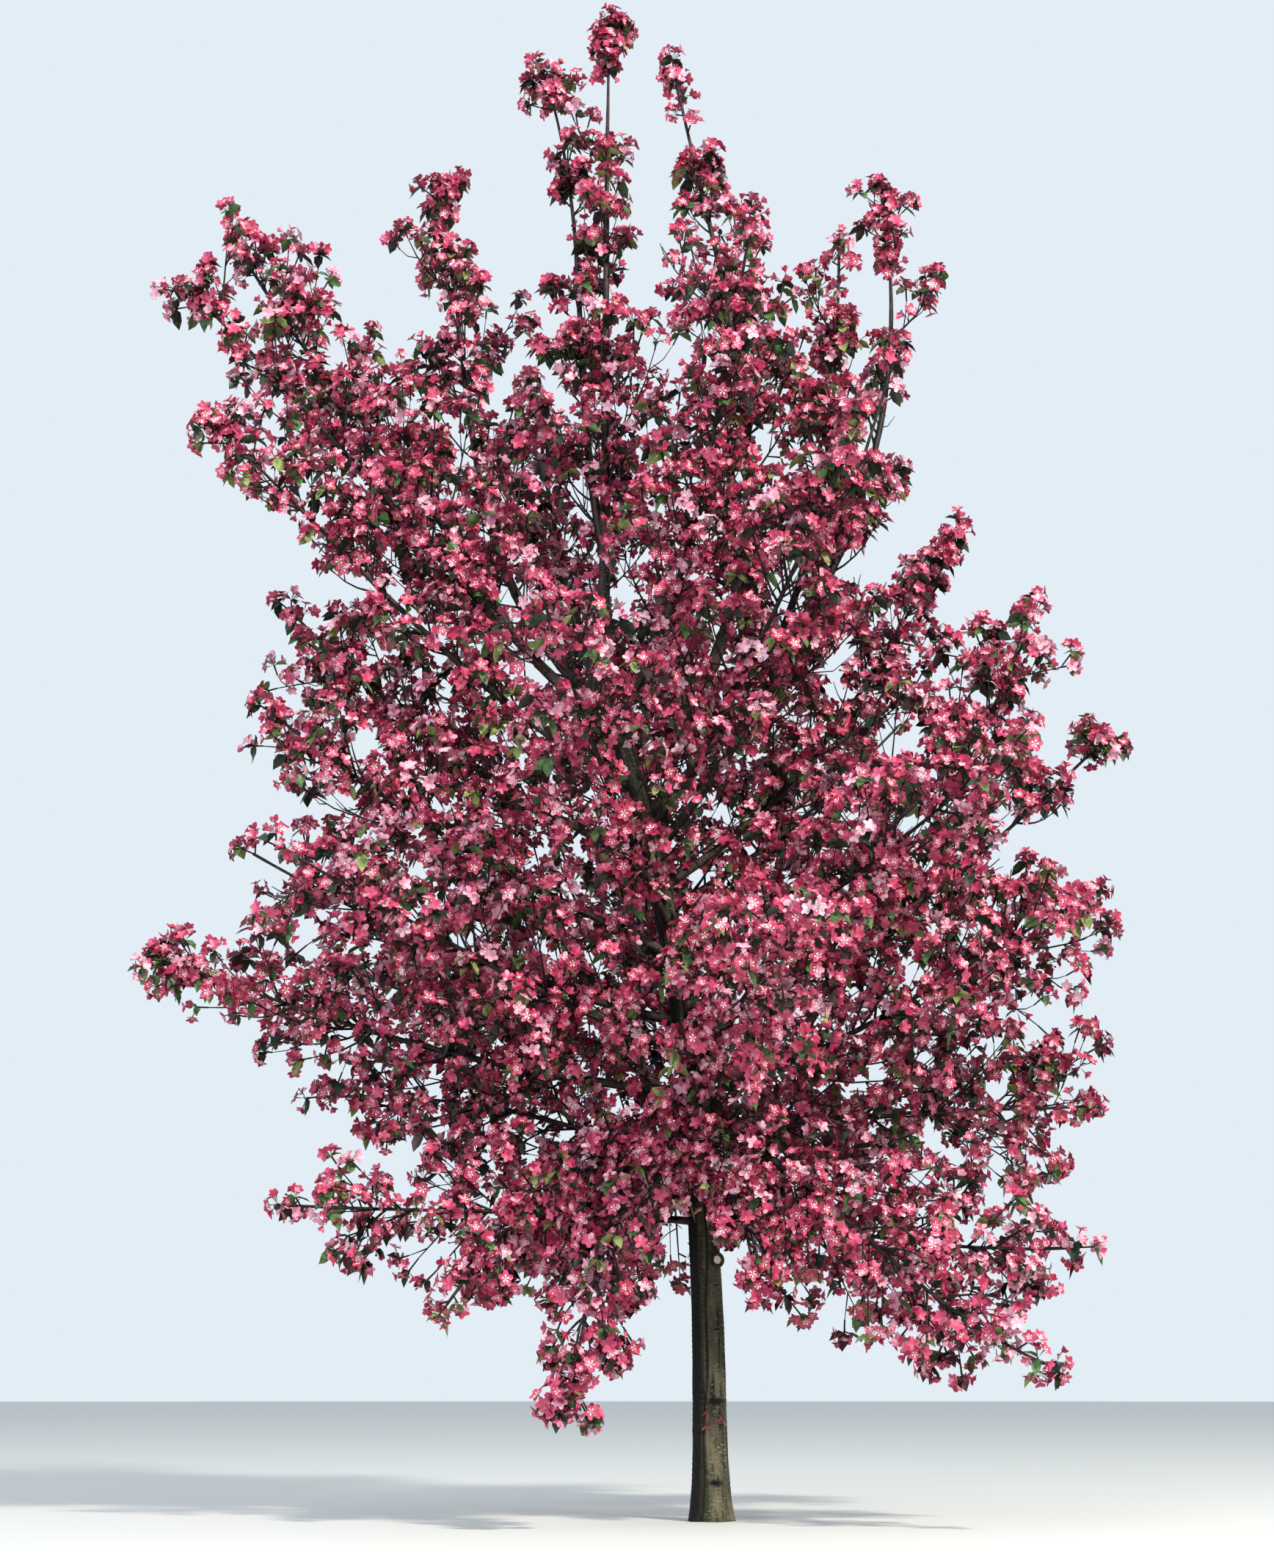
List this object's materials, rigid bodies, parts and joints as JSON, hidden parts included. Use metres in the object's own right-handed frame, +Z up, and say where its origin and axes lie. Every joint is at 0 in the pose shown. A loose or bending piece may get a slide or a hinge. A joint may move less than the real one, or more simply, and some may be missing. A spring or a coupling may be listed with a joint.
{
  "type": "rudolph crabapple tree",
  "caption": "Garden crabapple tree in full deep rose blossom, with a leaning bare trunk, an airy crown of rising and hanging boughs and bronze young leaves.",
  "frame": {"origin": "centre of the flat cut under the trunk, at ground level", "axes": "+Z up; +X is the right of the picture and +Y points away from its viewer"},
  "size_m": [2.6703, 2.5528, 4.1675],
  "materials": {
    "bark": "matte",
    "blossom": "satin",
    "leaf": "satin"
  },
  "bodies": {
    "root": {"blossom_back_crown": "blossom", "blossom_back_high": "blossom", "blossom_back_left": "blossom", "blossom_back_low": "blossom", "blossom_back_mid": "blossom", "blossom_back_right": "blossom", "blossom_back_skirt": "blossom", "blossom_front_crown": "blossom", "blossom_front_high": "blossom", "blossom_front_left": "blossom", "blossom_front_low": "blossom", "blossom_front_mid": "blossom", "blossom_front_right": "blossom", "blossom_front_skirt": "blossom", "blossom_front_weep": "blossom", "blossom_leader": "blossom", "blossom_left_arch": "blossom", "blossom_left_fork": "blossom", "blossom_left_high": "blossom", "blossom_left_low": "blossom", "blossom_left_mid": "blossom", "blossom_left_prong": "blossom", "blossom_left_reach": "blossom", "blossom_left_shoulder": "blossom", "blossom_left_skirt": "blossom", "blossom_left_weep": "blossom", "blossom_right_arch": "blossom", "blossom_right_high": "blossom", "blossom_right_low": "blossom", "blossom_right_mid": "blossom", "blossom_right_prong": "blossom", "blossom_right_shoulder": "blossom", "blossom_right_skirt": "blossom", "blossom_right_spire": "blossom", "blossom_right_upper": "blossom", "blossom_right_weep": "blossom", "blossom_top_left": "blossom", "blossom_top_right": "blossom", "blossom_upper_left": "blossom", "bough_front_crown": "bark", "bough_front_high": "bark", "bough_front_mid": "bark", "bough_front_right": "bark", "bough_leader": "bark", "bough_left_fork": "bark", "bough_left_high": "bark", "bough_left_low": "bark", "bough_left_mid": "bark", "bough_left_reach": "bark", "bough_left_shoulder": "bark", "bough_right_arch": "bark", "bough_right_high": "bark", "bough_right_low": "bark", "bough_right_mid": "bark", "bough_right_shoulder": "bark", "bough_right_spire": "bark", "bough_right_upper": "bark", "bough_top_right": "bark", "bough_upper_left": "bark", "trunk": "bark"}
  },
  "joints": []
}
